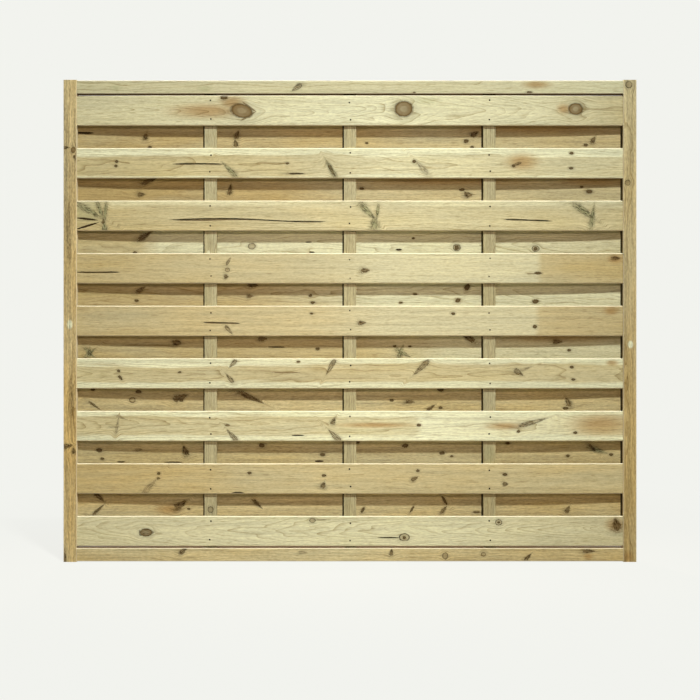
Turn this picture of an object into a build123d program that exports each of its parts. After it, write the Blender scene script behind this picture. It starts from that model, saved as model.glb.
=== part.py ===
from build123d import *

import os
from math import sin

# Horizontal board fence panel. Boards are nailed in turn to the front and to the back of three upright
# battens, each gap of one side closed by a board of the other, and their ends spring together into grooves
# in the stiles of a mortised frame.
# Millimetres, +Z up, front towards -Y, origin at the middle of the foot. Boards count from the top.

# Panel
PANEL_WIDTH = 1800.0
PANEL_HEIGHT = 1514.0
FRAME_DEPTH = 42.0

# Frame members
STILE_WIDTH = 42.0
STILE_HORN = 2.0  # how far a stile runs past each rail
RAIL_HEIGHT = 42.0
FRAME_ARRIS = 3.0

# Mortise and tenon joints of the frame, and the housed ends of the battens
TENON_LENGTH = 28.0
TENON_HEIGHT = 30.0
TENON_THICKNESS = 14.0
BATTEN_SEAT = 12.0  # length of batten inside each rail
JOINT_CLEARANCE = 0.2  # on each side of a tenon or a batten end
JOINT_END_ROOM = 0.8  # past the end of a tenon, batten or board

# Boards
BOARD_WIDTH = 95.0
BOARD_THICKNESS = 9.0
BOARD_EASE = 2.5  # bevel along each long edge
FRONT_BOARDS = 9
EDGE_CLEARANCE = 4.5  # between a rail and the board next to it

# Grooves in the stiles
GROOVE_DEPTH = 12.0
GROOVE_LIP = 6.0  # wood between a groove and the face of the stile
GROOVE_CLEARANCE = 0.4  # on each side of a board end

# Battens
BATTENS = 3
BATTEN_WIDTH = 39.0
BATTEN_THICKNESS = 18.0
BATTEN_ARRIS = 1.5

# Nails, square wire brads punched below the face
NAIL_SIZE = 3.0
NAIL_SET = 1.0
NAIL_PIT = 5.0  # width of the hollow that the punch leaves in the face
NAIL_EDGE = 19.0  # from a nail to the long edge of its board
NAIL_WANDER = 4.0  # how far hand nailing strays from the pattern
NAIL_POINT = 4.0
NAIL_COVER = 2.0  # wood left past the point

# Drying splits along the grain of the front boards
SPLIT_WIDTH = 4.2
SPLIT_DEPTH = 4.5
# Board number, then the points that the split runs through, from the middle of the board
SPLITS = [
    (2, [(-560, -3), (-540, -3), (-475, -2.5), (-415, -3.2), (-395, -3.5)]),
    (3, [(-570, -13), (-540, -13), (-305, -12), (-185, -18), (-105, -19), (-75, -19)]),
    (3, [(480, -12), (500, -12.4), (560, -14), (615, -16.2), (637, -17)]),
    (4, [(-866, -12), (-848, -12.2), (-800, -13), (-740, -12.2), (-720, -12)]),
    (5, [(-462, -5), (-447, -5.3), (-400, -6.5), (-358, -7.6), (-343, -8)]),
]

# Places that follow from the sizes above
opening_width = PANEL_WIDTH - 2 * STILE_WIDTH
opening_bottom = STILE_HORN + RAIL_HEIGHT
opening_top = PANEL_HEIGHT - opening_bottom
opening_height = opening_top - opening_bottom
opening_middle = PANEL_HEIGHT / 2

batten_bay = (opening_width - BATTENS * BATTEN_WIDTH) / (BATTENS + 1)
batten_pitch = batten_bay + BATTEN_WIDTH
batten_places = [(i - (BATTENS - 1) / 2) * batten_pitch for i in range(BATTENS)]

board_pitch = (opening_height - 2 * EDGE_CLEARANCE - BOARD_WIDTH) / (FRONT_BOARDS - 1)
top_board = opening_top - EDGE_CLEARANCE - BOARD_WIDTH / 2
front_heights = [top_board - i * board_pitch for i in range(FRONT_BOARDS)]
rear_heights = [height - board_pitch / 2 for height in front_heights[:-1]]

groove_width = BOARD_THICKNESS + 2 * GROOVE_CLEARANCE
groove_place = FRAME_DEPTH / 2 - GROOVE_LIP - groove_width / 2
housed_length = GROOVE_DEPTH - JOINT_END_ROOM
board_end = opening_width / 2 + housed_length
board_face = BATTEN_THICKNESS / 2 + BOARD_THICKNESS

# The spring of a board, from the edge of the outer batten to the middle of its housed end and to its tip
bend_start = batten_places[-1] + BATTEN_WIDTH / 2
bend_to_groove = opening_width / 2 + housed_length / 2 - bend_start
groove_spring = board_face - BOARD_THICKNESS / 2 - groove_place
end_spring = groove_spring * ((board_end - bend_start) / bend_to_groove) ** 2

nail_length = BOARD_THICKNESS + BATTEN_THICKNESS - NAIL_SET - NAIL_COVER
nail_row = BOARD_WIDTH / 2 - NAIL_EDGE


def stile(side):
    """An upright of the frame, on the left for side -1 and on the right for side 1."""
    inner_face = opening_width / 2
    mortise_depth = TENON_LENGTH + JOINT_END_ROOM
    section = RectangleRounded(STILE_WIDTH, FRAME_DEPTH, FRAME_ARRIS)
    body = Pos(inner_face + STILE_WIDTH / 2) * extrude(section, PANEL_HEIGHT)
    for face in (-1, 1):
        groove = Box(GROOVE_DEPTH, groove_width, opening_height)
        body -= Pos(inner_face + GROOVE_DEPTH / 2, face * groove_place, opening_middle) * groove
    for height in (opening_bottom - RAIL_HEIGHT / 2, opening_top + RAIL_HEIGHT / 2):
        mortise = Box(
            mortise_depth,
            TENON_THICKNESS + 2 * JOINT_CLEARANCE,
            TENON_HEIGHT + 2 * JOINT_CLEARANCE,
        )
        body -= Pos(inner_face + mortise_depth / 2, 0, height) * mortise
    return body if side > 0 else mirror(body, about=Plane.YZ)


def rail(side):
    """A cross member of the frame, at the bottom for side -1 and at the top for side 1."""
    section = Plane.YZ * RectangleRounded(FRAME_DEPTH, RAIL_HEIGHT, FRAME_ARRIS)
    body = extrude(section, opening_width / 2, both=True)
    body += Box(opening_width + 2 * TENON_LENGTH, TENON_THICKNESS, TENON_HEIGHT)
    seat_depth = BATTEN_SEAT + JOINT_END_ROOM
    seat_height = -side * (RAIL_HEIGHT - seat_depth) / 2
    for x in batten_places:
        seat = Box(
            BATTEN_WIDTH + 2 * JOINT_CLEARANCE,
            BATTEN_THICKNESS + 2 * JOINT_CLEARANCE,
            seat_depth,
        )
        body -= Pos(x, 0, seat_height) * seat
    return Pos(0, 0, opening_middle + side * (opening_height + RAIL_HEIGHT) / 2) * body


def nail_spots(board, height):
    """Where one board is nailed, as (x, z): two nails in each batten, a little off the pattern."""
    spots = []
    for x in batten_places:
        for side in (1, -1):
            turn = 2 * BATTENS * board + len(spots)
            stray_x = NAIL_WANDER / 2 * sin(2.4 * turn)
            stray_z = NAIL_WANDER * sin(1.7 * turn + 1)
            spots.append((x + stray_x, height + side * nail_row + stray_z))
    return spots


front_spots = [nail_spots(i, height) for i, height in enumerate(front_heights)]
rear_spots = [nail_spots(i, height) for i, height in enumerate(rear_heights, FRONT_BOARDS)]


def nail_hole(spot, face, depth):
    """A square hole from the face of the boards inwards, in front for face -1 and behind for face 1."""
    x, z = spot
    return Pos(x, face * (board_face - depth / 2), z) * Box(NAIL_SIZE, depth, NAIL_SIZE)


def punch_marks(spots, face):
    """The hollows above one board's nails, in front for face -1 and behind for face 1."""
    rim = Plane.XZ.offset(board_face) * Rectangle(NAIL_PIT, NAIL_PIT)
    floor = Plane.XZ.offset(board_face - NAIL_SET) * Rectangle(NAIL_SIZE, NAIL_SIZE)
    hollow = loft([rim.face(), floor.face()])
    if face > 0:
        hollow = mirror(hollow, about=Plane.XZ)
    return [Pos(x, 0, z) * hollow for x, z in spots]


def nails(spots, face):
    """One side's nails, as separate solids."""
    shank_length = nail_length - NAIL_POINT
    shank = Pos(0, shank_length / 2) * Box(NAIL_SIZE, shank_length, NAIL_SIZE)
    root = Plane.XZ.offset(-shank_length) * Rectangle(NAIL_SIZE, NAIL_SIZE)
    nail = shank + loft([root.face(), Vertex(0, nail_length, 0)])
    if face > 0:
        nail = mirror(nail, about=Plane.XZ)
    head = face * (board_face - NAIL_SET)
    return Compound([Pos(x, head, z) * nail for board in spots for x, z in board])


def batten(x):
    """An upright inside the panel, housed in both rails and bored for the nails of both sides."""
    length = opening_height + 2 * BATTEN_SEAT
    section = RectangleRounded(BATTEN_WIDTH, BATTEN_THICKNESS, BATTEN_ARRIS)
    body = Pos(x, 0, opening_bottom - BATTEN_SEAT) * extrude(section, length)
    hole_depth = NAIL_SET + nail_length
    holes = []
    for face, rows in ((-1, front_spots), (1, rear_spots)):
        spots = [spot for row in rows for spot in row if abs(spot[0] - x) < BATTEN_WIDTH / 2]
        holes += [nail_hole(spot, face, hole_depth) for spot in spots]
    return body - holes


def sprung_board():
    """A front board at height 0: straight over the battens, its ends sprung back into the grooves."""
    front = -board_face
    run = Line((-bend_start, front), (bend_start, front))
    right = TangentArc((bend_start, front), (board_end, front + end_spring), tangent=(1, 0))
    left = TangentArc((-bend_start, front), (-board_end, front + end_spring), tangent=(-1, 0))
    outline = [run, right, left]
    outline += [Pos(0, BOARD_THICKNESS) * edge for edge in (run, right, left)]
    for end in (right @ 1, left @ 1):
        outline.append(Line(end, end + Vector(0, BOARD_THICKNESS)))
    board = extrude(make_face(outline), BOARD_WIDTH / 2, both=True)
    long_edges = [
        edge
        for edge in board.edges()
        if abs(edge.center().Z) > BOARD_WIDTH / 4 and edge.length > 2 * BOARD_THICKNESS
    ]
    return chamfer(long_edges, BOARD_EASE)


def split(points, height):
    """A slit along these points, pointed at both ends, cut into the face of a front board at this height."""
    start, *between, end = [(x, height + z) for x, z in points]
    upper = Spline(start, *[(x, z + SPLIT_WIDTH / 2) for x, z in between], end)
    lower = Spline(start, *[(x, z - SPLIT_WIDTH / 2) for x, z in between], end)
    outline = Plane.XZ.offset(board_face) * make_face([upper, lower])
    spring = end_spring if max(-start[0], end[0]) > bend_start else 0
    return extrude(outline, -(SPLIT_DEPTH + spring))


def front_board(number, plain):
    """The front board of this number, with its nail holes and splits."""
    height = front_heights[number - 1]
    spots = front_spots[number - 1]
    cuts = [nail_hole(spot, -1, BOARD_THICKNESS) for spot in spots] + punch_marks(spots, -1)
    for board, points in SPLITS:
        if board == number:
            cuts.append(split(points, height))
    return Pos(0, 0, height) * plain - cuts


def rear_board(number, plain):
    """The rear board of this number, with its nail holes."""
    spots = rear_spots[number - 1]
    cuts = [nail_hole(spot, 1, BOARD_THICKNESS) for spot in spots] + punch_marks(spots, 1)
    return Pos(0, 0, rear_heights[number - 1]) * plain - cuts


def panel():
    """Every piece of the panel by name."""
    pieces = {
        "left_stile": stile(-1),
        "right_stile": stile(1),
        "top_rail": rail(1),
        "bottom_rail": rail(-1),
        "front_nails": nails(front_spots, -1),
        "rear_nails": nails(rear_spots, 1),
    }
    names = ["left", "middle", "right"] if BATTENS == 3 else range(1, BATTENS + 1)
    for name, x in zip(names, batten_places):
        pieces[f"batten_{name}"] = batten(x)
    front = sprung_board()
    rear = mirror(front, about=Plane.XZ)
    for number in range(1, FRONT_BOARDS + 1):
        pieces[f"front_board_{number}"] = front_board(number, front)
    for number in range(1, FRONT_BOARDS):
        pieces[f"rear_board_{number}"] = rear_board(number, rear)
    return pieces


os.makedirs("parts", exist_ok=True)
for name, shape in panel().items():
    export_step(shape, f"parts/{name}.step")
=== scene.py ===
import math
from collections import namedtuple

import bpy
from bpy.props import FloatProperty, FloatVectorProperty, PointerProperty
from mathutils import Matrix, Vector


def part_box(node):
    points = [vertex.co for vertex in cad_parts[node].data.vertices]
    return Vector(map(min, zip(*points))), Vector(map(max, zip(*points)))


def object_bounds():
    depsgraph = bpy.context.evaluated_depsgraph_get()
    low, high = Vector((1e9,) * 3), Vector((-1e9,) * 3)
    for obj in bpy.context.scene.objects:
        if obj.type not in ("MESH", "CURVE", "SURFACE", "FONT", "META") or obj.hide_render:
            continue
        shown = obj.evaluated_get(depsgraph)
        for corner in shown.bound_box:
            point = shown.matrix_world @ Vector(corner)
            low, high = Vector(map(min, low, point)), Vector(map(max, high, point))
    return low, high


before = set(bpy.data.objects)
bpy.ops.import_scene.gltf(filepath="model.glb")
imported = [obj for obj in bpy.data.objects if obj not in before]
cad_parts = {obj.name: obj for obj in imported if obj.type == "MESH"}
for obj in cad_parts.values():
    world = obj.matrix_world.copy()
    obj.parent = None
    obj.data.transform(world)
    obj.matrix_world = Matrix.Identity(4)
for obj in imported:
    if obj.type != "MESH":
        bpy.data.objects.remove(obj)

bl_info = {
    "name": "Board fence panel",
    "version": (1, 0, 0),
    "blender": (4, 5, 0),
    "location": "3D View > Sidebar > Fence",
    "description": "Finishes a horizontal board fence panel in treated pine and sets up its studio",
    "category": "Object",
}

CAD_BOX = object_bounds()
MM = 0.001
METRE = 1000.0


def linear(code):
    """Linear red, green and blue of an sRGB hex colour."""
    shares = [int(code[i : i + 2], 16) / 255 for i in (1, 3, 5)]
    return tuple(c / 12.92 if c <= 0.04045 else ((c + 0.055) / 1.055) ** 2.4 for c in shares)


def colour(name, code, description):
    """A colour property whose default is an sRGB hex colour."""
    return FloatVectorProperty(
        name=name, description=description, subtype="COLOR", default=linear(code), min=0, max=1
    )


def length(name, metres, description):
    """A length property in metres."""
    return FloatProperty(name=name, description=description, default=metres, min=0, unit="LENGTH")


def wattage(name, watts, description):
    """A property for the power of a lamp in watts."""
    return FloatProperty(name=name, description=description, default=watts, min=0, unit="POWER")


def fraction(name, value, description, lowest=0):
    """A property without a unit, from 0 or another lowest value to 1."""
    return FloatProperty(name=name, description=description, default=value, min=lowest, max=1)


class FENCE_PG_pine(bpy.types.PropertyGroup):
    """Colours and grain of the pine"""

    sapwood: colour("Sapwood", "#DBDFBE", "Pale outer wood, a little green from its treatment")
    heartwood: colour("Heartwood", "#B5A97C", "Tan inner wood")
    redwood: colour("Red heartwood", "#B9A067", "Inner wood of the redder pieces")
    latewood: colour("Latewood", "#B8AA90", "Share of the light that the dark line of a ring keeps")
    # The stain colour also serves as painted shade in long bands high on some rear boards.
    stain_and_shade: colour("Stain", "#A5854F", "Resin-soaked wood, most of it beside knots")
    # The knot colour also serves as the painted shade on the faces of the rails that turn to the boards.
    knot: colour("Knot", "#6B5530", "Middle of a sound knot, and dirt on the rails")
    # The bark colour also serves as the painted shadow left of the battens and of the right stile.
    bark_and_corner_shadow: colour("Bark ring", "#1C1309", "Bark round a knot, dead knots and dirt in corners")
    # The cleft colour is painted shade deep in the splits and nail holes.
    cleft: colour("Cleft", "#0C0805", "Dirt deep in the splits and nail holes")
    # The arris colour is a painted highlight along the planed edges.
    arris_highlight: colour("Arris", "#EFE8CA", "Planed edges, paler than the faces")
    algae: colour("Algae", "#A3A87E", "Green of the treatment where it pooled")
    ring_spacing: length("Ring spacing", 3.3 * MM, "From one growth ring to the next")
    fibre_width: length("Fibre width", 2.6 * MM, "Width of a bundle of fibres")
    fibre_length: length("Fibre length", 90 * MM, "Length of a bundle of fibres")
    grain_depth: length("Grain depth", 0.5 * MM, "Relief of the sawn surface")


class FENCE_PG_nail(bpy.types.PropertyGroup):
    """Colours of the nails"""

    steel: colour("Steel", "#1C1815", "Dull steel wire")
    rust: colour("Rust", "#2C1B10", "Rust that has begun on the wire")


class FENCE_PG_stage(bpy.types.PropertyGroup):
    """Studio round the panel"""

    backdrop: colour("Backdrop", "#F2F3EE", "Floor and backdrop as the camera sees them")
    bounce: colour("Bounce", "#A59D8E", "Floor as it lights the panel from below")
    key_light: colour("Key light", "#FCFFFC", "Colour of the main lamp")
    fill_light: colour("Fill light", "#FFE1CE", "Colour of the other lamps and of the light from all round")
    camera_distance: length("Camera distance", 5.3, "From the camera to the front of the panel")
    view_width: length("View width", 2.198, "Width of the picture at the front of the panel")
    floor_size: length("Floor size", 40.0, "Length of a side of the floor")
    shadow_reach: length("Shadow reach", 2.6, "How far from the panel the floor shows its shadow")
    key_power: wattage("Key power", 119, "Main lamp")
    fill_power: wattage("Fill power", 4.5, "Soft lamp")
    back_power: wattage("Back power", 9, "Lamp behind")
    side_power: wattage("Side power", 3, "Lamp at each side")
    ambient: fraction("Ambient", 0.08, "Light from all round")
    shadow_strength: fraction("Shadow strength", 0.1, "How strongly the floor shows the shadow of the panel")
    view_shift: fraction("View shift", -0.0416, "How far up the view moves, by its width", lowest=-1)


# Marks in the wood
#
# A mark is a kind, its place along and across the face in millimetres, half its length, half its height and
# its tilt in degrees. Places are from the middle of a board or rail, and up from the foot on an upright.
Mark = namedtuple("Mark", "kind along across reach rise tilt", defaults=(0,))

# How strongly the middle, the bark ring and the brown halo of each kind show, how black its middle is, how
# far it turns the grain aside, how ragged and how flecked it is, and its tint: brown stain, green algae or
# bare scraped wood.
Kind = namedtuple("Kind", "core ring halo black bend ragged flecks tint", defaults=(*[0.0] * 7, (0, 0, 0)))
KINDS = {
    "sound": Kind(0.90, 0.60, 0.55, 0.00, 0.90, 0.35),
    "eye": Kind(0.40, 0.95, 0.50, 0.00, 0.90, 0.60),
    "dead": Kind(0.95, 0.70, 0.85, 0.74, 0.80, 1.70),
    "branch": Kind(0.75, 0.50, 0.90, 0.40, 0.80, 2.30, 0.85),
    "leaf": Kind(0.50, 0.75, 0.50, 0.00, 0.50, 1.00, 0.70),
    "faint": Kind(0.20, 0.30, 0.45, 0.00, 0.50, 1.00, 0.45),
    "fan": Kind(0.20, 0.18, 0.45, 0.00, 0.40, 2.40, 0.75, (0, 0.85, 0)),
    "streak": Kind(0.95, 0.90, 0.00, 1.00, 0.00, 0.60),
    "line": Kind(0.80, 0.30, 0.00, 0.20, 0.00, 0.60),
    "stain_and_shade": Kind(tint=(0.75, 0, 0)),
    "algae": Kind(tint=(0, 0.45, 0)),
    "bare": Kind(tint=(0, 0, 2.00)),
}

# Sizes of the marks, in millimetres. Flecks are drawn coarser than they are so that they show.
FLECK_LENGTH = 16.0
FLECK_WIDTH = 2.2
LARGE_MARK = 9  # half height from which a mark has a coarse edge
RIGHT_THROUGH = 1e6  # depth of a mark, so that it goes through any piece

# Painted highlights on the edges, and painted shade, in millimetres
ARRIS_HIGHLIGHT_WIDTH = 2.8
CORNER_SHADOW_WIDTH = 5.0  # of the painted shadow on a rear board left of a batten
BEND_SLACK = 0.35  # how far the sprung ends of the boards may stray from the bend that cleft_shade draws

# How strongly the painted highlight on the arrises of uprights and of level pieces shows
UPRIGHT_ARRIS_HIGHLIGHT = 0.45
LEVEL_ARRIS_HIGHLIGHT = 0.75

# The numbers of the first rail's and the first upright's tree, after those of the boards, and how far apart
# in the grain two trees lie, in millimetres
RAIL_TREE = 40
UPRIGHT_TREE = 50
TREE_STEP = (977.0, 131.0, 59.0)

# A piece of timber: where the middle of its tree lies across and behind the face and how that slopes along
# the piece, the share of heartwood at places along it, its green tint, its brightness, its marks, the band of
# the face that the heartwood keeps to (middle, half width, softness), how red its heartwood is, how strongly
# its fibres show and how dark the painted shade in its splits is.
WHOLE = (0, 80, 10)
Timber = namedtuple(
    "Timber", "pith slope heart green tone marks band red grit dirt", defaults=(WHOLE, 0.0, 1.0, 1.0)
)

# A painted line of shade across a batten where it goes into the top rail, in the gap under the rail
UNDER_RAIL_SHADE = Mark("streak", 1471, 0, 5, 60)

FRONT_TIMBER = [
    Timber(
        pith=(-3, 28), slope=0.053, green=0.3, tone=0.99, grit=1.1,
        heart=[(-870, 0.5), (-300, 0.3), (0, 0.12), (600, 0.35), (870, 0.85)],
        marks=[
            Mark("sound", -340, -1, 34, 21, -12), Mark("stain_and_shade", -450, -1, 110, 22),
            Mark("dead", -396, 41, 11, 6), Mark("line", -316, 11, 26, 3, -36),
            Mark("line", -320, -18, 27, 3, 31), Mark("stain_and_shade", -370, 24, 40, 22),
            Mark("sound", 169, 5, 28, 24), Mark("algae", 240, 30, 45, 13), Mark("sound", 709, 5, 22, 18),
            Mark("stain_and_shade", 672, 5, 22, 16),
        ],
    ),
    Timber(
        pith=(2, 45), slope=0.012, green=0.2, tone=1, band=(-8, 26, 10), grit=1.1,
        heart=[(-870, 0.85), (-200, 0.75), (100, 0.4), (870, 0.65)],
        marks=[
            Mark("dead", -733, 5, 5, 4), Mark("dead", -736, -9, 5, 4), Mark("fan", -377, -22, 29, 9, 135),
            Mark("dead", -197, -1, 5, 3), Mark("streak", -170, -33, 24, 2),
            Mark("faint", -170, -33, 34, 5), Mark("fan", -60, -18, 30, 9, 120),
            Mark("branch", -58, -22, 20, 6, -60), Mark("dead", 202, 5, 6, 5),
            Mark("faint", 226, -14, 26, 9, 132), Mark("stain_and_shade", 540, 4, 46, 25),
            Mark("leaf", 522, -4, 15, 5, 200), Mark("dead", 514, -9, 5, 4), Mark("dead", 696, 31, 6, 4),
            Mark("dead", 695, -16, 7, 4),
        ],
    ),
    Timber(
        pith=(-70, 30), slope=0.008, green=0.15, tone=1.02, band=(-30, 40, 60), grit=1.2,
        heart=[(-870, 0.95), (-200, 0.75), (300, 0.55), (870, 0.85)],
        marks=[
            Mark("fan", -820, 16, 48, 11, -30), Mark("streak", -828, -10, 32, 3, -6),
            Mark("streak", -826, -32, 33, 3, 17), Mark("fan", -785, 15, 32, 9, -70),
            Mark("fan", -769, 12, 30, 7, -94), Mark("branch", -775, -16, 9, 5, 80),
            Mark("fan", -772, -36, 17, 10, 95), Mark("algae", -822, 12, 50, 34),
            Mark("fan", 54, 14, 34, 12, -47), Mark("fan", 86, 9, 23, 6, 262),
            Mark("fan", 77, -26, 20, 17, 95), Mark("fan", 737, 13, 38, 12, -36),
            Mark("fan", 762, -4, 34, 9, 82),
        ],
    ),
    Timber(
        pith=(90, 25), slope=0.006, green=0.1, tone=0.96, red=0.35, grit=1.1, dirt=0.45,
        heart=[(-870, 0.85), (-150, 0.65), (100, 0.35), (585, 0.35), (605, 0.75), (870, 0.9)],
        marks=[
            Mark("leaf", -382, 22, 12, 5, 60), Mark("eye", -385, -5, 7, 6),
            Mark("branch", -389, -26, 6, 8), Mark("branch", 48, -7, 12, 8), Mark("dead", 591, -15, 10, 4),
            Mark("line", 572, -17, 18, 2), Mark("stain_and_shade", 834, 29, 22, 14), Mark("branch", 836, 32, 12, 6),
        ],
    ),
    Timber(
        pith=(100, 30), slope=0.006, green=0.1, tone=0.98, red=0.5, grit=1.1, dirt=0.6,
        heart=[(-870, 0.85), (-100, 0.65), (100, 0.42), (578, 0.4), (598, 0.75), (870, 0.9)],
        marks=[
            Mark("leaf", -381, -28, 16, 6, -50), Mark("dead", -121, 23, 5, 3),
            Mark("branch", 38, -6, 11, 7), Mark("dead", 324, 23, 6, 4), Mark("dead", 581, -18, 6, 5),
            Mark("stain_and_shade", 820, 31, 22, 12),
        ],
    ),
    Timber(
        pith=(-2, 40), slope=0.01, green=0.2, tone=0.985, band=(0, 22, 10), red=0.15, grit=1.1,
        heart=[(-870, 0.65), (-100, 0.8), (300, 0.7), (870, 0.7)],
        marks=[
            Mark("dead", -727, 8, 5, 4), Mark("dead", -722, -13, 8, 4, -50), Mark("dead", -535, 4, 5, 3),
            Mark("leaf", -368, 31, 15, 7, 228), Mark("leaf", -378, -15, 17, 7, 130),
            Mark("line", -200, 3, 40, 2), Mark("dead", -162, 37, 5, 3), Mark("leaf", -60, 22, 25, 8, 240),
            Mark("leaf", 224, 19, 31, 9, 224), Mark("leaf", 530, 3, 16, 9, -35),
            Mark("faint", 550, 14, 22, 5, 20), Mark("dead", 697, 20, 6, 4), Mark("dead", 702, -19, 6, 4),
            Mark("stain_and_shade", 824, 33, 19, 9),
        ],
    ),
    Timber(
        pith=(4, 42), slope=0.014, green=0.35, tone=1.09, band=(0, 24, 12), grit=1.1,
        heart=[(-870, 0.8), (-50, 0.65), (205, 0.5), (225, 0.05), (420, 0.2), (870, 0.6)],
        marks=[
            Mark("faint", -731, 4, 26, 4, 80), Mark("faint", -720, 27, 16, 4, -20),
            Mark("faint", -740, -3, 17, 3), Mark("branch", -384, 3, 7, 4),
            Mark("leaf", -370, -30, 23, 8, 132), Mark("branch", -52, 16, 11, 8, 60),
            Mark("leaf", -48, -31, 25, 9, 135), Mark("streak", -164, -29, 19, 2),
            Mark("dead", 216, 3, 6, 4), Mark("stain_and_shade", 80, 3, 110, 8), Mark("leaf", 575, 12, 41, 8, 16),
            Mark("stain_and_shade", 486, 0, 57, 12), Mark("dead", 529, -17, 5, 4), Mark("dead", 708, -21, 6, 4),
            Mark("stain_and_shade", 790, 4, 90, 34),
        ],
    ),
    Timber(
        pith=(110, 20), slope=0.005, green=0.05, tone=1.01, red=0.4, grit=1.2,
        heart=[(-870, 0.9), (0, 0.75), (870, 0.8)],
        marks=[
            Mark("dead", -601, 16, 5, 4), Mark("branch", -601, 1, 5, 4),
            Mark("faint", -632, -28, 30, 9, 48), Mark("dead", -316, 18, 6, 4),
            Mark("streak", -352, -47, 19, 6), Mark("dead", -82, 10, 6, 4),
            Mark("branch", -84, -20, 9, 9, 70), Mark("dead", 213, 25, 5, 4),
            Mark("branch", 203, 0, 10, 7, 30), Mark("dead", 487, 13, 7, 4),
            Mark("branch", 488, -17, 8, 8),
        ],
    ),
    Timber(
        pith=(5, 30), slope=-0.045, green=0.3, tone=0.97, red=0.5, grit=1.1,
        heart=[(-870, 0.4), (-200, 0.25), (300, 0.25), (870, 0.5)],
        marks=[
            Mark("leaf", -639, -4, 22, 13), Mark("sound", -641, -4, 19, 12), Mark("eye", -118, 34, 9, 7),
            Mark("faint", -89, 36, 25, 2), Mark("eye", 171, -19, 15, 11), Mark("dead", 171, -20, 5, 4),
            Mark("streak", 122, -20, 31, 2), Mark("eye", 467, 28, 10, 9), Mark("dead", 467, 28, 4, 3),
            Mark("branch", 838, 20, 18, 15, 100), Mark("stain_and_shade", 834, 20, 30, 22),
        ],
    ),
]

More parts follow.
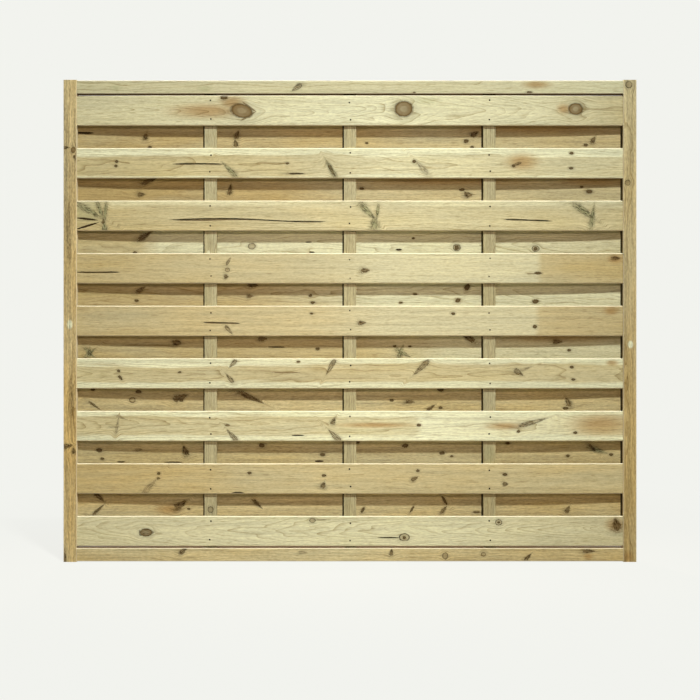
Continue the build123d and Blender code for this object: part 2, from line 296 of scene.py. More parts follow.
REAR_TIMBER = [
    Timber(
        pith=(-60, -25), slope=0.008, green=0.15, tone=0.86, red=0.7, grit=1.4,
        heart=[(-870, 0.85), (0, 0.8), (200, 0.65), (870, 0.75)],
        marks=[
            Mark("branch", -645, 4, 11, 8, 75), Mark("dead", -632, -30, 6, 4),
            Mark("streak", -837, 15, 25, 3), Mark("branch", -357, 8, 12, 9, 70),
            Mark("branch", -361, -17, 11, 8, 100), Mark("branch", 393, 12, 12, 9, 30),
            Mark("dead", 367, -11, 8, 5), Mark("dead", 386, -30, 6, 4), Mark("dead", 53, -17, 5, 3),
            Mark("branch", 768, -7, 11, 8, 60), Mark("dead", 744, -23, 6, 4),
            # The long stain high on the face is painted shade that deepens the shadow of the front board
            # above.
            Mark("stain_and_shade", 590, 32, 230, 17),
        ],
    ),
    Timber(
        pith=(80, -20), slope=0.006, green=0.15, tone=0.84, red=0.6, grit=1.4,
        heart=[(-870, 1.0), (-200, 0.9), (0, 0.65), (870, 0.65)],
        marks=[
            Mark("branch", -660, -14, 11, 8), Mark("branch", -630, 32, 26, 8, 25),
            Mark("branch", -379, 1, 15, 8, 80), Mark("branch", 373, -15, 13, 10),
            Mark("dead", 353, 1, 8, 4), Mark("dead", 37, 5, 6, 4), Mark("dead", 755, -5, 9, 6),
            # The two long stains high on the face, at the end of the next line, are painted shade that
            # deepens the shadow of the front board above.
            Mark("dead", 731, 10, 5, 3), Mark("stain_and_shade", 300, 32, 260, 15), Mark("stain_and_shade", 770, 32, 120, 19),
        ],
    ),
    Timber(
        pith=(-10, -50), slope=0.02, green=0.3, tone=0.91, red=0.2, grit=1.2,
        heart=[(-870, 0.85), (-660, 0.8), (-600, 0.2), (100, 0.1), (870, 0.5)],
        marks=[
            Mark("branch", -648, 20, 24, 9, 32), Mark("dead", -679, -32, 6, 4),
            Mark("eye", -310, -12, 11, 9), Mark("streak", -131, 1, 9, 2), Mark("streak", -121, -31, 9, 2),
            Mark("dead", 200, 13, 4, 3), Mark("streak", 154, -23, 9, 3), Mark("eye", 337, -16, 11, 10),
            Mark("dead", 337, -16, 7, 7), Mark("eye", 586, -20, 11, 9), Mark("dead", 586, -20, 6, 5),
        ],
    ),
    Timber(
        pith=(6, -48), slope=0.018, green=0.3, tone=0.87, red=0.5, grit=1.2,
        heart=[(-870, 0.9), (-300, 0.85), (-100, 0.55), (100, 0.1), (870, 0.25)],
        marks=[
            Mark("branch", -661, 16, 16, 7, 30), Mark("dead", -674, -19, 6, 4),
            Mark("branch", -307, 30, 14, 9), Mark("branch", -316, -5, 9, 6), Mark("dead", -125, -3, 6, 4),
            Mark("dead", -118, -25, 6, 4), Mark("dead", 370, 24, 10, 7, 60), Mark("dead", 206, 2, 6, 3),
            Mark("dead", 341, -18, 8, 6), Mark("dead", 160, -25, 5, 3), Mark("dead", 586, -21, 9, 6),
        ],
    ),
    Timber(
        pith=(90, -20), slope=0.007, green=0.15, tone=0.88, red=0.3, grit=1.4,
        heart=[(-870, 0.95), (0, 0.85), (200, 0.6), (300, 0.35), (870, 0.4)],
        marks=[
            Mark("branch", -545, 13, 14, 10), Mark("line", -638, 6, 80, 2),
            Mark("fan", -821, -19, 20, 7, 40), Mark("fan", -821, -19, 20, 7, -45),
            Mark("fan", -823, -19, 16, 8, 85), Mark("branch", -275, 26, 12, 8),
            Mark("streak", -231, 0, 25, 2), Mark("dead", -102, -6, 6, 4),
            Mark("fan", 160, -16, 20, 9, 70), Mark("fan", 165, -18, 24, 8, -30),
            Mark("branch", 372, 30, 24, 9, 150), Mark("dead", 141, 3, 5, 3), Mark("dead", 189, 2, 5, 3),
            # The long stain high on the face, at the end of the next line, is painted shade that deepens the
            # shadow of the front board above.
            Mark("branch", 655, 17, 14, 8), Mark("dead", 692, -10, 6, 4), Mark("stain_and_shade", 660, 32, 190, 16),
        ],
    ),
    Timber(
        pith=(-80, -25), slope=0.006, green=0.1, tone=0.93, red=0.4, grit=1.8,
        heart=[(-870, 0.9), (100, 0.75), (870, 0.9)],
        marks=[
            Mark("eye", -687, -2, 9, 8), Mark("branch", -806, -20, 19, 4, -35),
            Mark("dead", -812, 31, 6, 4), Mark("dead", -668, 24, 8, 5),
            Mark("branch", -535, 6, 20, 12, 20), Mark("dead", -533, -4, 6, 4),
            Mark("branch", -313, 6, 41, 8, -25), Mark("dead", 132, -3, 6, 4),
            Mark("branch", 190, -8, 14, 6), Mark("branch", 256, -26, 14, 6, 35),
            Mark("dead", 286, -26, 6, 4), Mark("dead", 286, 31, 9, 6),
            Mark("branch", 688, -8, 14, 9, 120), Mark("dead", 680, -28, 9, 4),
        ],
    ),
    Timber(
        pith=(85, -20), slope=0.007, green=0.1, tone=0.93, red=0.2, grit=1.8,
        heart=[(-870, 0.9), (100, 0.8), (870, 0.95)],
        marks=[
            Mark("dead", -791, 5, 9, 6), Mark("dead", -782, -22, 6, 4), Mark("faint", -667, 6, 11, 6),
            Mark("branch", -520, 2, 16, 10, 110), Mark("streak", -723, -32, 12, 2),
            Mark("streak", -556, -33, 28, 2), Mark("dead", -278, 20, 9, 6), Mark("dead", -87, -9, 8, 5),
            Mark("streak", -97, -30, 13, 3), Mark("dead", 174, 19, 9, 6), Mark("dead", 290, -4, 8, 5),
            Mark("dead", 321, -14, 5, 3), Mark("dead", 24, 30, 6, 4), Mark("branch", 765, 12, 16, 5, -45),
            Mark("fan", 780, 6, 30, 10, -20), Mark("dead", 688, -13, 6, 4), Mark("dead", 824, -9, 6, 4),
            Mark("dead", 498, 27, 6, 4),
        ],
    ),
    Timber(
        pith=(-75, -20), slope=0.006, green=0.1, tone=0.96, red=0.5, grit=1.8,
        heart=[(-870, 0.85), (100, 0.8), (870, 0.95)],
        marks=[
            Mark("branch", -790, 21, 19, 7, -40), Mark("branch", -795, -18, 24, 5, 42),
            Mark("branch", -535, -2, 20, 12, 35), Mark("dead", -509, -15, 5, 3),
            Mark("stain_and_shade", -570, -16, 40, 16), Mark("branch", -294, 2, 19, 6, -45),
            Mark("dead", 298, 12, 14, 4, -60), Mark("dead", 196, -16, 11, 3, 60),
            Mark("branch", 296, -18, 14, 6, 50), Mark("dead", 400, -26, 12, 3),
            Mark("dead", 40, -19, 9, 4, 60), Mark("branch", 687, -17, 11, 8, 60),
        ],
    ),
]

RAIL_TIMBER = {
    "top_rail": Timber(
        pith=(30, 40), slope=0.006, green=0.3, tone=0.87,
        heart=[(-870, 0.5), (0, 0.4), (870, 0.3)],
        marks=[
            Mark("algae", -736, -1, 19, 9), Mark("algae", -456, -4, 22, 9),
            Mark("leaf", -167, -1, 17, 9, 215), Mark("dead", 202, -17, 4, 2),
            Mark("stain_and_shade", 586, 8, 40, 12), Mark("dead", 563, -16, 8, 3),
        ],
    ),
    "bottom_rail": Timber(
        pith=(-40, 30), slope=0.005, green=0.1, tone=1, red=0.5, grit=1.7,
        heart=[(-870, 0.8), (0, 0.7), (870, 0.95)],
        marks=[
            Mark("branch", -523, 13, 15, 7, 40), Mark("faint", -148, 7, 12, 5),
            Mark("branch", 130, 8, 10, 6, 80), Mark("eye", 299, -4, 8, 10), Mark("eye", 419, 1, 7, 6),
            Mark("branch", 559, -7, 13, 6, 45), Mark("branch", 751, 11, 18, 6),
            Mark("stain_and_shade", 747, -5, 14, 10),
        ],
    ),
}

UPRIGHT_TIMBER = {
    "left_stile": Timber(
        pith=(25, 30), slope=0.006, green=0.1, tone=0.95, red=0.9, grit=3,
        heart=[(0, 0.75), (330, 1.0), (700, 0.85), (1514, 0.75)],
        marks=[
            Mark("branch", 1301, -15, 10, 6, 90), Mark("sound", 1294, 10, 9, 7),
            Mark("dead", 1272, 13, 5, 3), Mark("bare", 746, -1, 12, 7),
            Mark("branch", 364, -9, 16, 8, 80), Mark("branch", 349, 11, 9, 6),
            Mark("faint", 520, 3, 60, 9), Mark("faint", 1040, -4, 90, 8), Mark("branch", 12, -16, 24, 4),
        ],
    ),
    "right_stile": Timber(
        pith=(-20, 35), slope=0.006, green=0.15, tone=0.9, red=0.8, grit=2.2,
        heart=[(0, 1.0), (700, 0.85), (1514, 0.65)],
        marks=[
            Mark("eye", 1499, -3, 10, 10), Mark("eye", 1191, -7, 8, 8), Mark("bare", 683, 2, 10, 7),
            Mark("stain_and_shade", 16, -6, 18, 16),
        ],
    ),
    "batten_left": Timber(
        pith=(30, 25), slope=0.005, green=0.3, tone=0.75, red=0.15, grit=1.5,
        heart=[(0, 0.7), (1514, 0.55)],
        marks=[
            Mark("eye", 163, 0, 9, 8), Mark("bare", 973, -6, 5, 4), UNDER_RAIL_SHADE,
        ],
    ),
    "batten_middle": Timber(
        pith=(-35, 25), slope=0.005, green=0.2, tone=0.73, red=0.15, grit=1.5,
        heart=[(0, 0.7), (1514, 0.6)],
        marks=[UNDER_RAIL_SHADE],
    ),
    "batten_right": Timber(
        pith=(28, 30), slope=0.005, green=0.3, tone=0.73, red=0.15, grit=1.5,
        heart=[(0, 0.95), (500, 0.7), (1514, 0.6)],
        marks=[
            Mark("algae", 336, 0, 30, 16), UNDER_RAIL_SHADE,
        ],
    ),
}

# Which way each rail turns to the boards, and from how near to that face painted shade darkens it, in
# millimetres
RAIL_GAP_SHADE = {"top_rail": (-1, 1.5), "bottom_rail": (1, 0.6)}


# Nodes


def add(tree, kind, inputs=(), out=0, **settings):
    """Adds one node with its settings and its inputs, given as values or as sockets to link, and returns one
    of its outputs."""
    node = tree.nodes.new(kind)
    for name, value in settings.items():
        setattr(node, name, value)
    for socket, value in inputs.items() if isinstance(inputs, dict) else enumerate(inputs):
        if isinstance(value, bpy.types.NodeSocket):
            tree.links.new(value, node.inputs[socket])
        else:
            node.inputs[socket].default_value = value
    return node.outputs[out]


def maths(tree, operation, *inputs, **settings):
    """The result of one operation on numbers."""
    return add(tree, "ShaderNodeMath", inputs, operation=operation, **settings)


def vectors(tree, operation, *inputs):
    """The result of one operation on vectors."""
    return add(tree, "ShaderNodeVectorMath", inputs, operation=operation)


def scaled(tree, vector, factor):
    """A vector times a number."""
    return add(tree, "ShaderNodeVectorMath", {0: vector, "Scale": factor}, operation="SCALE")


def magnitude(tree, vector):
    """How long a vector is."""
    return add(tree, "ShaderNodeVectorMath", (vector,), "Value", operation="LENGTH")


def axes(tree, vector):
    """The X, Y and Z of a vector, by name."""
    return add(tree, "ShaderNodeSeparateXYZ", (vector,)).node.outputs


def joined(tree, x, y, z=0.0):
    """A vector from its X, Y and Z."""
    return add(tree, "ShaderNodeCombineXYZ", (x, y, z))


def ramp(tree, value, start, end, low=0.0, high=1.0, smooth=False):
    """Goes from low to high while the value goes from start to end, and stays level past both."""
    kind = "SMOOTHSTEP" if smooth else "LINEAR"
    return add(tree, "ShaderNodeMapRange", (value, start, end, low, high), interpolation_type=kind)


def mix(tree, share, one, other, blend="MIX"):
    """One colour turned into another by a share of 0 to 1."""
    return add(tree, "ShaderNodeMix", {0: share, 6: one, 7: other}, 2, data_type="RGBA", blend_type=blend)


def noise(tree, place, long, wide, detail, out=0):
    """Noise in blotches of about this length and width, in the unit of the place."""
    stretched = vectors(tree, "MULTIPLY", place, (1 / long, 1 / wide, 1 / wide))
    return add(tree, "ShaderNodeTexNoise", {"Vector": stretched, "Scale": 1.0, "Detail": detail}, out)


def opaque(hue):
    """A colour of three values as the four that a socket takes."""
    return (*hue, 1.0)


def new_group(name, inputs, outputs):
    """An empty node group with these sockets. Returns the group, its input node and its output node."""
    group = bpy.data.node_groups.new(name, "ShaderNodeTree")
    for sockets, way in ((inputs, "INPUT"), (outputs, "OUTPUT")):
        for socket, kind in sockets.items():
            group.interface.new_socket(name=socket, in_out=way, socket_type=f"NodeSocket{kind}")
    return group, group.nodes.new("NodeGroupInput"), group.nodes.new("NodeGroupOutput")


def new_material(name):
    """A material that has no nodes yet. Returns the material and its node tree."""
    material = bpy.data.materials.new(name)
    material.use_nodes = True
    material.node_tree.nodes.clear()
    return material, material.node_tree


def mark_group(flecked):
    """The node group that adds one mark: it turns the grain aside and keeps the strongest of the marks. A
    flecked mark narrows towards one end and frays along its fibres."""
    name = "flecked pine mark" if flecked else "pine mark"
    if name in bpy.data.node_groups:
        return bpy.data.node_groups[name]
    tree, start, end = new_group(
        name,
        {
            "Place": "Vector",
            "Grain": "Vector",
            "Marks": "Vector",
            "Tints": "Vector",
            "Centre": "Vector",
            "Size": "Vector",
            "Tilt": "Float",
            "Ragged": "Float",
            "Raggedness": "Float",
            "Strength": "Vector",
            "Black": "Float",
            "Bend": "Float",
            "Flecks": "Float",
            "Tint": "Vector",
        },
        {"Grain": "Vector", "Marks": "Vector", "Tints": "Vector"},
    )
    given = start.outputs

    # How far out a point lies: 0 in the middle of the mark and 1 at its edge
    ragged = maths(tree, "MULTIPLY", given["Ragged"], given["Raggedness"])
    away = vectors(tree, "SUBTRACT", given["Place"], given["Centre"])
    turned = add(
        tree,
        "ShaderNodeVectorRotate",
        {"Vector": away, "Angle": given["Tilt"]},
        rotation_type="Z_AXIS",
        invert=True,
    )
    ratio = vectors(tree, "DIVIDE", turned, given["Size"])
    if flecked:
        part = axes(tree, ratio)
        width = maths(tree, "MULTIPLY_ADD", part["X"], -0.35, 0.75)
        width = maths(tree, "MAXIMUM", width, 0.25)
        height = maths(tree, "DIVIDE", part["Y"], width)
        ratio = joined(tree, part["X"], height)
    smooth_edge = magnitude(tree, ratio)
    edge = maths(tree, "ADD", smooth_edge, ragged)

    # The middle, with faint rings of its own and paler towards its centre
    core = ramp(tree, edge, 1.06, 0.92, smooth=True)
    turns = maths(tree, "MULTIPLY", edge, 16.0)
    turns = maths(tree, "SINE", turns)
    turns = maths(tree, "MULTIPLY_ADD", turns, 0.06, 0.94)
    ringed_core = maths(tree, "MULTIPLY", core, turns)
    paler = ramp(tree, edge, 0.1, 0.9, 0.62, 1.0, smooth=True)
    ringed_core = maths(tree, "MULTIPLY", ringed_core, paler)

    # The bark ring, which is weaker in some places, and the black of a dead knot
    off_edge = maths(tree, "SUBTRACT", edge, 1.0)
    off_edge = maths(tree, "ABSOLUTE", off_edge)
    ring = ramp(tree, off_edge, 0.20, 0.04, smooth=True)
    broken = ramp(tree, ragged, 0.08, -0.08, 0.45, 1.0)
    ring = maths(tree, "MULTIPLY", ring, broken)
    black = maths(tree, "MULTIPLY", core, given["Black"])
    ring = maths(tree, "MAXIMUM", ring, black)

    halo = ramp(tree, edge, 2.5, 0.6, smooth=True)
    found = joined(tree, ringed_core, ring, halo)
    found = vectors(tree, "MULTIPLY", found, given["Strength"])
    marks = vectors(tree, "MAXIMUM", found, given["Marks"])
    if flecked:
        fleck = vectors(tree, "MULTIPLY", turned, (1 / FLECK_LENGTH, 1 / FLECK_WIDTH, 0.0))
        fleck = vectors(tree, "ADD", fleck, given["Centre"])
        fleck = add(tree, "ShaderNodeTexNoise", {"Vector": fleck, "Scale": 1.0, "Detail": 1.0})
        fleck = ramp(tree, fleck, 0.49, 0.57)
        near = ramp(tree, edge, 1.6, 0.5, smooth=True)
        fleck = maths(tree, "MULTIPLY", fleck, near)
        fleck = maths(tree, "MULTIPLY", fleck, given["Flecks"])
        marks = vectors(tree, "MAXIMUM", marks, joined(tree, 0.0, fleck))
    tint = ramp(tree, smooth_edge, 1.6, 0.2, smooth=True)
    tint = scaled(tree, given["Tint"], tint)
    tints = vectors(tree, "MAXIMUM", tint, given["Tints"])

    # The grain flows round the mark, less and less further out
    swell = maths(tree, "MULTIPLY", smooth_edge, smooth_edge)
    swell = maths(tree, "MULTIPLY", swell, -0.22)
    swell = maths(tree, "EXPONENT", swell)
    swell = maths(tree, "MULTIPLY", swell, given["Bend"])
    aside = vectors(tree, "MULTIPLY", away, (0.0, 1.0, 0.0))
    aside = scaled(tree, aside, swell)
    grain = vectors(tree, "SUBTRACT", given["Grain"], aside)
    for name, socket in (("Grain", grain), ("Marks", marks), ("Tints", tints)):
        tree.links.new(socket, end.inputs[name])
    return tree


def pine_group(settings):
    """The node group of the wood itself: growth rings, fibres, heartwood and marks, in millimetres."""
    name = "treated pine"
    if name in bpy.data.node_groups:
        return bpy.data.node_groups[name]
    tree, start, end = new_group(
        name,
        {
            "Grain": "Vector",
            "Marks": "Vector",
            "Tints": "Vector",
            "Heart": "Float",
            "Heartwood": "Color",
            "Band": "Vector",
            "Pith": "Vector",
            "Green": "Float",
            "Tone": "Float",
            "Grit": "Float",
            "Tree": "Vector",
        },
        {"Color": "Color", "Roughness": "Float"},
    )
    given = start.outputs
    spacing = settings.ring_spacing * METRE
    fibre_width = settings.fibre_width * METRE
    fibre_length = settings.fibre_length * METRE

    # The tree was not straight: its rings wander by a few millimetres along the piece
    own = vectors(tree, "ADD", given["Grain"], given["Tree"])
    wander = noise(tree, own, long=260, wide=55, detail=2.0, out="Color")
    wander = vectors(tree, "SUBTRACT", wander, (0.5, 0.5, 0.5))
    wander = vectors(tree, "MULTIPLY", wander, (0.0, 24.0, 24.0))
    grown = vectors(tree, "ADD", given["Grain"], wander)

    # Growth rings: the distance from the pith, which slopes along the piece and so draws long arches
    part = axes(tree, grown)
    pith = axes(tree, given["Pith"])
    across = maths(tree, "SUBTRACT", part["Y"], pith["X"])
    slope = maths(tree, "MULTIPLY_ADD", part["X"], pith["Z"], pith["Y"])
    behind = maths(tree, "SUBTRACT", part["Z"], slope)
    radius = magnitude(tree, joined(tree, across, behind))
    count = maths(tree, "MULTIPLY", radius, 1 / spacing)
    year = maths(tree, "FLOOR", count)
    season = maths(tree, "FRACT", count)
    late = maths(tree, "POWER", season, 4.0)
    growth = add(tree, "ShaderNodeTexWhiteNoise", {"W": year}, "Value", noise_dimensions="1D")
    growth = maths(tree, "MULTIPLY_ADD", growth, 0.75, 0.25)
    late = maths(tree, "MULTIPLY", late, growth)

    # Fibres, and short dark dashes of resin and dirt between them. They and the speckle of the sawn face are
    # drawn a few times as wide as they are so that they show.
    fibre = noise(tree, own, fibre_length, fibre_width, detail=3.0)
    streak = noise(tree, own, long=420, wide=11, detail=2.0)
    speckle = noise(tree, own, long=10, wide=3.2, detail=1.0)
    dash = noise(tree, own, long=28, wide=2.2, detail=1.0)
    dash = ramp(tree, dash, 0.55, 0.72)

    # Heartwood keeps to its band of the face, with an uneven edge
    patch = noise(tree, own, long=330, wide=60, detail=3.0)
    band = axes(tree, given["Band"])
    ragged = maths(tree, "MULTIPLY_ADD", streak, 26.0, -13.0)
    off_band = maths(tree, "ADD", part["Y"], ragged)
    off_band = maths(tree, "SUBTRACT", off_band, band["X"])
    off_band = maths(tree, "ABSOLUTE", off_band)
    band_edge = maths(tree, "ADD", band["Y"], band["Z"])
    heart = ramp(tree, off_band, band_edge, band["Y"], 0.12, 1.0, smooth=True)
    heart = maths(tree, "MULTIPLY", heart, given["Heart"])
    uneven = maths(tree, "MULTIPLY_ADD", patch, 0.9, 0.55)
    heart = maths(tree, "MULTIPLY", heart, uneven, use_clamp=True)

    # The colour of clear wood, its tints and the dark latewood
    tints = axes(tree, given["Tints"])
    marks = axes(tree, given["Marks"])
    halo = maths(tree, "MULTIPLY", marks["Z"], 0.8)
    brown = maths(tree, "MAXIMUM", heart, halo)
    wood = mix(tree, brown, opaque(settings.sapwood), given["Heartwood"])
    wood = mix(tree, tints["X"], wood, opaque(settings.stain_and_shade))
    green = ramp(tree, patch, 0.5, 0.8)
    green = maths(tree, "MULTIPLY", green, given["Green"])
    green = maths(tree, "MAXIMUM", green, tints["Y"])
    wood = mix(tree, green, wood, opaque(settings.algae))
    wood = mix(tree, tints["Z"], wood, opaque(settings.sapwood))
    shade = maths(tree, "MULTIPLY", late, 0.80)
    shade = maths(tree, "MULTIPLY_ADD", dash, 0.45, shade, use_clamp=True)
    wood = mix(tree, shade, wood, opaque(settings.latewood), blend="MULTIPLY")

    # Light and dark from the fibres, the weather and the resin beside knots, then the knots themselves
    light = maths(tree, "MULTIPLY_ADD", streak, 0.40, -0.40)
    light = maths(tree, "MULTIPLY_ADD", fibre, 0.42, light)
    light = maths(tree, "MULTIPLY_ADD", speckle, 0.34, light)
    light = maths(tree, "SUBTRACT", light, 0.18)
    light = maths(tree, "MULTIPLY_ADD", light, given["Grit"], 1.0)
    weather = maths(tree, "MULTIPLY_ADD", patch, 0.5, 0.77)
    light = maths(tree, "MULTIPLY", light, weather)
    light = maths(tree, "MULTIPLY", light, given["Tone"])
    soaked = maths(tree, "MULTIPLY_ADD", marks["Z"], -0.35, 1.0)
    light = maths(tree, "MULTIPLY", light, soaked)
    wood = scaled(tree, wood, light)
    wood = mix(tree, marks["X"], wood, opaque(settings.knot))
    wood = mix(tree, marks["Y"], wood, opaque(settings.bark_and_corner_shadow))
    rough = maths(tree, "MULTIPLY_ADD", late, -0.14, 0.72)
    for name, socket in (("Color", wood), ("Roughness", rough)):
        tree.links.new(socket, end.inputs[name])
    return tree


def cleft_shade(tree, place):
    """1 inside the splits and nail holes of a board and 0 on its faces, from the depth below the face, which
    springs inwards past the outer battens."""
    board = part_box("front_board_1")
    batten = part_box("batten_right")
    face = -board[0].y * METRE
    bend_start = batten[1].x * METRE
    board_end = board[1].x * METRE
    end_spring = (board[1].y - batten[0].y) * METRE
    thickness = (batten[0].y - board[0].y) * METRE
    edge = (board[1].z - board[0].z) / 2 * METRE
    axis = axes(tree, place)
    over = maths(tree, "ABSOLUTE", axis["X"])
    over = ramp(tree, over, bend_start, board_end)
    spring = maths(tree, "POWER", over, 2.0)
    spring = maths(tree, "MULTIPLY_ADD", spring, -end_spring, face)
    level = maths(tree, "ABSOLUTE", axis["Z"])
    depth = maths(tree, "SUBTRACT", spring, level)

    # The bend is drawn as a parabola, which strays a little from the board's arc, so that much is let off
    slack = ramp(tree, over, 0.0, 0.1, 0.0, BEND_SLACK)
    hollow = maths(tree, "SUBTRACT", depth, slack)
    below_face = ramp(tree, hollow, 0.05, 0.25)

    # The back of the board and its bevelled long edges are no clefts
    above_back = ramp(tree, depth, thickness - 1.0, thickness - 2.0)
    inside = maths(tree, "ABSOLUTE", axis["Y"])
    inside = ramp(tree, inside, edge - 4.0, edge - 6.0)
    shade = maths(tree, "MULTIPLY", below_face, above_back)
    return maths(tree, "MULTIPLY", shade, inside)


def corner_shadow(tree, place):
    """1 where painted shadow falls on the front of a rear board, in the corners left of the battens and of
    the right stile, which follow each other at one pitch, and 0 elsewhere."""
    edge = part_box("batten_left")[0].x * METRE
    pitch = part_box("batten_middle")[0].x * METRE - edge
    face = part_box("batten_left")[1].y * METRE
    axis = axes(tree, place)
    bay = maths(tree, "MULTIPLY_ADD", axis["X"], 1 / pitch, -edge / pitch)
    bay = maths(tree, "FRACT", bay)
    corner = ramp(tree, bay, 1 - CORNER_SHADOW_WIDTH / pitch, 1 - (CORNER_SHADOW_WIDTH - 1.0) / pitch)

    # The front of a rear board lies on the back of the battens
    front = ramp(tree, axis["Z"], face + 3.0, face + 2.0)
    return maths(tree, "MULTIPLY", corner, front)


def pine(name, timber, upright, middle, half, tree_number):
    """Sawn pine, pressure treated: pale yellow-green sapwood and tan heartwood, dull, with dark latewood
    lines, brown knots ringed in black and a fibrous sawn surface."""
    settings = bpy.context.scene.fence_pine
    material, tree = new_material(f"sawn treated pine {name}")
    place = add(tree, "ShaderNodeTexCoord", (), "Object")
    place = scaled(tree, place, METRE)
    axis = axes(tree, place)
    along, across = ("Z", "X") if upright else ("X", "Z")
    place = joined(tree, axis[along], axis[across], axis["Y"])
    place = vectors(tree, "SUBTRACT", place, (0.0, middle, 0.0))

    # Coarse waves for the edges of the large marks and finer ones for the small marks
    ragged = []
    for wave in (8.0, 3.5):
        edge = noise(tree, place, long=wave, wide=wave, detail=1.0)
        ragged.append(maths(tree, "MULTIPLY_ADD", edge, 0.5, -0.25))
    coarse, fine = ragged
    grain = place
    marks = (0.0, 0.0, 0.0)
    tints = (0.0, 0.0, 0.0)
    for mark in timber.marks:
        kind = KINDS[mark.kind]
        grain = add(
            tree,
            "ShaderNodeGroup",
            {
                "Place": place,
                "Grain": grain,
                "Marks": marks,
                "Tints": tints,
                "Centre": (mark.along, mark.across, 0.0),
                "Size": (mark.reach, mark.rise, RIGHT_THROUGH),
                "Tilt": math.radians(mark.tilt),
                "Ragged": coarse if mark.rise > LARGE_MARK else fine,
                "Raggedness": kind.ragged,
                "Strength": (kind.core, kind.ring, kind.halo),
                "Black": kind.black,
                "Bend": kind.bend,
                "Flecks": kind.flecks,
                "Tint": kind.tint,
            },
            "Grain",
            node_tree=mark_group(kind.flecks > 0),
        )
        marks = grain.node.outputs["Marks"]
        tints = grain.node.outputs["Tints"]

    # The share of heartwood along the piece
    heartwood = Vector(settings.heartwood).lerp(Vector(settings.redwood), timber.red)
    first, last = timber.heart[0][0], timber.heart[-1][0]
    share = ramp(tree, axes(tree, place)["X"], first, last)
    share = add(tree, "ShaderNodeValToRGB", (share,))
    stops = share.node.color_ramp.elements
    for number, (at, amount) in enumerate(timber.heart):
        spot = (at - first) / (last - first)
        stop = stops[0] if number == 0 else stops[-1] if at == last else stops.new(spot)
        stop.position = spot
        stop.color = (amount, amount, amount, 1.0)

    wood = add(
        tree,
        "ShaderNodeGroup",
        {
            "Grain": grain,
            "Marks": marks,
            "Tints": tints,
            "Heart": share,
            "Heartwood": opaque(heartwood),
            "Band": timber.band,
            "Pith": (*timber.pith, timber.slope),
            "Green": timber.green,
            "Tone": timber.tone,
            "Grit": timber.grit,
            "Tree": [tree_number * step for step in TREE_STEP],
        },
        "Color",
        node_tree=pine_group(settings),
    ).node.outputs
    hue = wood["Color"]

    # Painted highlights along the arrises, and painted shade where pieces meet, in the splits and nail holes
    # and in the corners beside the battens
    level = axes(tree, place)["Y"]
    # A painted highlight along the arrises, except on the battens
    if "batten" not in name:
        highlight = maths(tree, "ABSOLUTE", level)
        pale = UPRIGHT_ARRIS_HIGHLIGHT if upright else LEVEL_ARRIS_HIGHLIGHT
        highlight = ramp(tree, highlight, half - ARRIS_HIGHLIGHT_WIDTH, half - ARRIS_HIGHLIGHT_WIDTH + 1.0, high=pale)
        hue = mix(tree, highlight, hue, opaque(settings.arris_highlight))
    # Painted shade on the face of each rail that turns to the boards, in the gap above or below the boards
    if name in RAIL_GAP_SHADE:
        inward, reach = RAIL_GAP_SHADE[name]
        dirt = maths(tree, "MULTIPLY", level, inward)
        dirt = ramp(tree, dirt, half - reach, half - reach / 3)
        hue = mix(tree, dirt, hue, opaque(settings.knot))
    # Painted shade deep in the splits and nail holes, at a strength given for each timber
    if "board" in name:
        cleft = maths(tree, "MULTIPLY", cleft_shade(tree, place), timber.dirt)
        hue = mix(tree, cleft, hue, opaque(settings.cleft))
    # Painted shadow on the rear boards to the left of each batten and of the right stile
    if "rear_board" in name:
        hue = mix(tree, corner_shadow(tree, place), hue, opaque(settings.bark_and_corner_shadow))

    # The relief of the sawn fibres
    fibre_length = settings.fibre_length * METRE
    fibre_width = settings.fibre_width * METRE
    fibre = noise(tree, place, fibre_length, fibre_width, detail=2.0)
    normal = add(
        tree, "ShaderNodeBump", {"Height": fibre, "Distance": settings.grain_depth, "Strength": 0.6}
    )
    surface = add(
        tree,
        "ShaderNodeBsdfPrincipled",
        {
            "Base Color": hue,
            "Roughness": wood["Roughness"],
            "Normal": normal,
            "IOR": 1.5,
            "Specular IOR Level": 0.05,
        },
    )
    tree.links.new(surface, tree.nodes.new("ShaderNodeOutputMaterial").inputs["Surface"])
    return material


def nail_wire():
    """Drawn steel wire, unplated: dark, half dull, with the first rust in brown patches."""
    settings = bpy.context.scene.fence_nail
    material, tree = new_material("drawn steel wire")
    place = add(tree, "ShaderNodeTexCoord", (), "Object")
    spots = noise(tree, place, long=1.5 * MM, wide=1.5 * MM, detail=2.0)
    spots = ramp(tree, spots, 0.40, 0.62)
    hue = mix(tree, spots, opaque(settings.steel), opaque(settings.rust))
    rough = maths(tree, "MULTIPLY_ADD", spots, 0.25, 0.65)
    surface = add(
        tree,
        "ShaderNodeBsdfPrincipled",
        {"Base Color": hue, "Roughness": rough, "Specular IOR Level": 0.05},
    )
    tree.links.new(surface, tree.nodes.new("ShaderNodeOutputMaterial").inputs["Surface"])
    return material


def node_object(name):
    """The CAD node of this name."""
    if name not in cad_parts:
        raise RuntimeError(f"the frame has no node named {name}")
    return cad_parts[name]


def finish_timber(name, timber, tree_number, upright=False):
    """Gives a CAD node its own piece of pine."""
    low, high = (corner[0 if upright else 2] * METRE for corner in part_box(name))
    wood = pine(name, timber, upright, (low + high) / 2, (high - low) / 2, tree_number)
    node_object(name).material_slots[0].material = wood


class FENCE_OT_frame(bpy.types.Operator):
    """Finish the stiles and rails of the frame, and the battens, in treated pine"""

    bl_idname = "fence.frame"
    bl_label = "Frame and battens"

    def execute(self, context):
        for number, (name, timber) in enumerate(RAIL_TIMBER.items(), RAIL_TREE):
            finish_timber(name, timber, number)
        for number, (name, timber) in enumerate(UPRIGHT_TIMBER.items(), UPRIGHT_TREE):
            finish_timber(name, timber, number, upright=True)
        return {"FINISHED"}


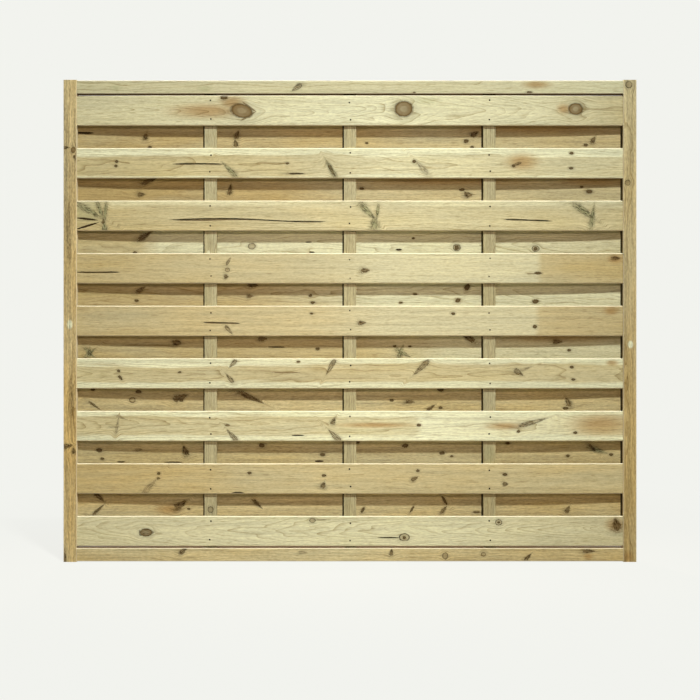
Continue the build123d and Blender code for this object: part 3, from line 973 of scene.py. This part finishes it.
class FENCE_OT_front_boards(bpy.types.Operator):
    """Finish each front board in its own treated pine"""

    bl_idname = "fence.front_boards"
    bl_label = "Front boards"

    def execute(self, context):
        for number, timber in enumerate(FRONT_TIMBER, 1):
            finish_timber(f"front_board_{number}", timber, number)
        return {"FINISHED"}


class FENCE_OT_rear_boards(bpy.types.Operator):
    """Finish each rear board in its own treated pine"""

    bl_idname = "fence.rear_boards"
    bl_label = "Rear boards"

    def execute(self, context):
        for number, timber in enumerate(REAR_TIMBER, 1):
            finish_timber(f"rear_board_{number}", timber, number + len(FRONT_TIMBER))
        return {"FINISHED"}


class FENCE_OT_nails(bpy.types.Operator):
    """Finish the nails in dull steel"""

    bl_idname = "fence.nails"
    bl_label = "Nails"

    def execute(self, context):
        wire = nail_wire()
        for name in ("front_nails", "rear_nails"):
            node_object(name).material_slots[0].material = wire
        return {"FINISHED"}


def lamp(name, place, target, size, power, spread, hue):
    """A square lamp at a place, turned towards a target."""
    light = bpy.data.lights.new(name, "AREA")
    light.color = hue
    light.size = size
    light.energy = power
    light.spread = math.radians(spread)
    holder = bpy.data.objects.new(name, light)
    holder.location = place
    holder.rotation_euler = (Vector(target) - Vector(place)).to_track_quat("-Z", "Y").to_euler()
    bpy.context.scene.collection.objects.link(holder)


def seen_rays(tree):
    """1 for rays that come from the camera, by themselves or by way of gloss or glass, and 0 for the rest."""
    path = add(tree, "ShaderNodeLightPath").node.outputs
    seen = maths(tree, "MAXIMUM", path["Is Camera Ray"], path["Is Glossy Ray"])
    return maths(tree, "MAXIMUM", seen, path["Is Transmission Ray"])


def studio_paper(stage):
    """Seamless studio paper: matt and pale, one even tone to the eye with a faint shadow near the panel."""
    material, tree = new_material("seamless studio paper")
    tone = opaque(stage.backdrop)
    place = add(tree, "ShaderNodeTexCoord", (), "Object")
    reach = magnitude(tree, place)
    share = ramp(tree, reach, 0.0, stage.shadow_reach, stage.shadow_strength, 0.0, smooth=True)
    seen = seen_rays(tree)
    unseen = maths(tree, "SUBTRACT", 1.0, seen)
    share = maths(tree, "MAXIMUM", share, unseen)
    paper = mix(tree, seen, opaque(stage.bounce), tone)
    matt = add(tree, "ShaderNodeBsdfDiffuse", {"Color": paper})
    even = add(tree, "ShaderNodeEmission", {"Color": tone, "Strength": 1.0})
    surface = add(tree, "ShaderNodeMixShader", (share, even, matt))
    tree.links.new(surface, tree.nodes.new("ShaderNodeOutputMaterial").inputs["Surface"])
    return material


def studio_floor(scene, stage):
    """Lays the floor."""
    half = stage.floor_size / 2
    corners = [(-half, -half, 0), (half, -half, 0), (half, half, 0), (-half, half, 0)]
    mesh = bpy.data.meshes.new("studio_floor")
    mesh.from_pydata(corners, [], [(0, 1, 2, 3)])
    mesh.materials.append(studio_paper(stage))
    floor = bpy.data.objects.new("studio_floor", mesh)
    scene.collection.objects.link(floor)


def studio_lamps(stage):
    """Hangs the main lamp high in front, a soft one lower down, one behind and one at each side."""
    low, high = CAD_BOX
    middle = (low + high) / 2
    lamp(
        "key_lamp",
        place=(1.25, low.y - 5.4, middle.z + 8.0),
        target=(-0.1, 0, middle.z - 0.35),
        size=0.5,
        power=stage.key_power,
        spread=60,
        hue=stage.key_light,
    )
    lamp(
        "fill_lamp",
        place=(0.9, low.y - 4.8, middle.z + 2.0),
        target=(-0.1, 0, middle.z + 0.1),
        size=0.6,
        power=stage.fill_power,
        spread=36,
        hue=stage.fill_light,
    )
    lamp(
        "back_lamp",
        place=(-0.9, high.y + 4.8, middle.z + 2.6),
        target=(0.1, 0, middle.z),
        size=0.6,
        power=stage.back_power,
        spread=36,
        hue=stage.fill_light,
    )
    for name, corner, side in (("left_lamp", low, -1), ("right_lamp", high, 1)):
        lamp(
            name,
            place=(corner.x + side * 3.0, high.y + 0.6, middle.z + 0.8),
            target=(corner.x, 0, middle.z),
            size=0.6,
            power=stage.side_power,
            spread=44,
            hue=stage.fill_light,
        )


def studio_world(scene, stage):
    """Lights the panel faintly from all round, behind a backdrop of one tone."""
    world = bpy.data.worlds.new("studio")
    world.use_nodes = True
    tree = world.node_tree
    tree.nodes.clear()
    around = {"Color": opaque(stage.fill_light), "Strength": stage.ambient}
    around = add(tree, "ShaderNodeBackground", around)
    behind = add(tree, "ShaderNodeBackground", {"Color": opaque(stage.backdrop), "Strength": 1.0})
    sky = add(tree, "ShaderNodeMixShader", (seen_rays(tree), around, behind))
    tree.links.new(sky, tree.nodes.new("ShaderNodeOutputWorld").inputs["Surface"])
    scene.world = world


def studio_camera(scene, stage):
    """Sets the camera level in front of the middle of the panel."""
    low, high = CAD_BOX
    middle = (low + high) / 2
    camera = bpy.data.cameras.new("camera")
    camera.lens = camera.sensor_width * stage.camera_distance / stage.view_width
    camera.shift_y = stage.view_shift
    holder = bpy.data.objects.new("camera", camera)
    holder.location = (middle.x, low.y - stage.camera_distance, middle.z)
    holder.rotation_euler = (math.radians(90), 0, 0)
    scene.collection.objects.link(holder)
    scene.camera = holder


class FENCE_OT_stage(bpy.types.Operator):
    """Lay the floor and set the lamps, the world and the camera"""

    bl_idname = "fence.stage"
    bl_label = "Stage"

    def execute(self, context):
        scene = context.scene
        stage = scene.fence_stage
        studio_floor(scene, stage)
        studio_lamps(stage)
        studio_world(scene, stage)
        studio_camera(scene, stage)
        scene.view_settings.view_transform = "Standard"
        return {"FINISHED"}


OPERATORS = (
    FENCE_OT_frame,
    FENCE_OT_front_boards,
    FENCE_OT_rear_boards,
    FENCE_OT_nails,
    FENCE_OT_stage,
)


class FENCE_PT_panel(bpy.types.Panel):
    """Lists the steps that finish the fence panel"""

    bl_idname = "FENCE_PT_panel"
    bl_label = "Fence panel"
    bl_space_type = "VIEW_3D"
    bl_region_type = "UI"
    bl_category = "Fence"

    def draw(self, context):
        for operator in OPERATORS:
            self.layout.operator(operator.bl_idname)
        for settings in (context.scene.fence_pine, context.scene.fence_nail, context.scene.fence_stage):
            for name in settings.__annotations__:
                self.layout.prop(settings, name)


GROUPS = {"fence_pine": FENCE_PG_pine, "fence_nail": FENCE_PG_nail, "fence_stage": FENCE_PG_stage}
CLASSES = (*GROUPS.values(), *OPERATORS, FENCE_PT_panel)


def register():
    for cls in CLASSES:
        bpy.utils.register_class(cls)
    for name, group in GROUPS.items():
        setattr(bpy.types.Scene, name, PointerProperty(type=group))


def unregister():
    for name in GROUPS:
        delattr(bpy.types.Scene, name)
    for cls in reversed(CLASSES):
        bpy.utils.unregister_class(cls)


def main():
    register()
    bpy.ops.fence.frame()
    bpy.ops.fence.front_boards()
    bpy.ops.fence.rear_boards()
    bpy.ops.fence.nails()
    bpy.ops.fence.stage()


if __name__ == "__main__":
    main()
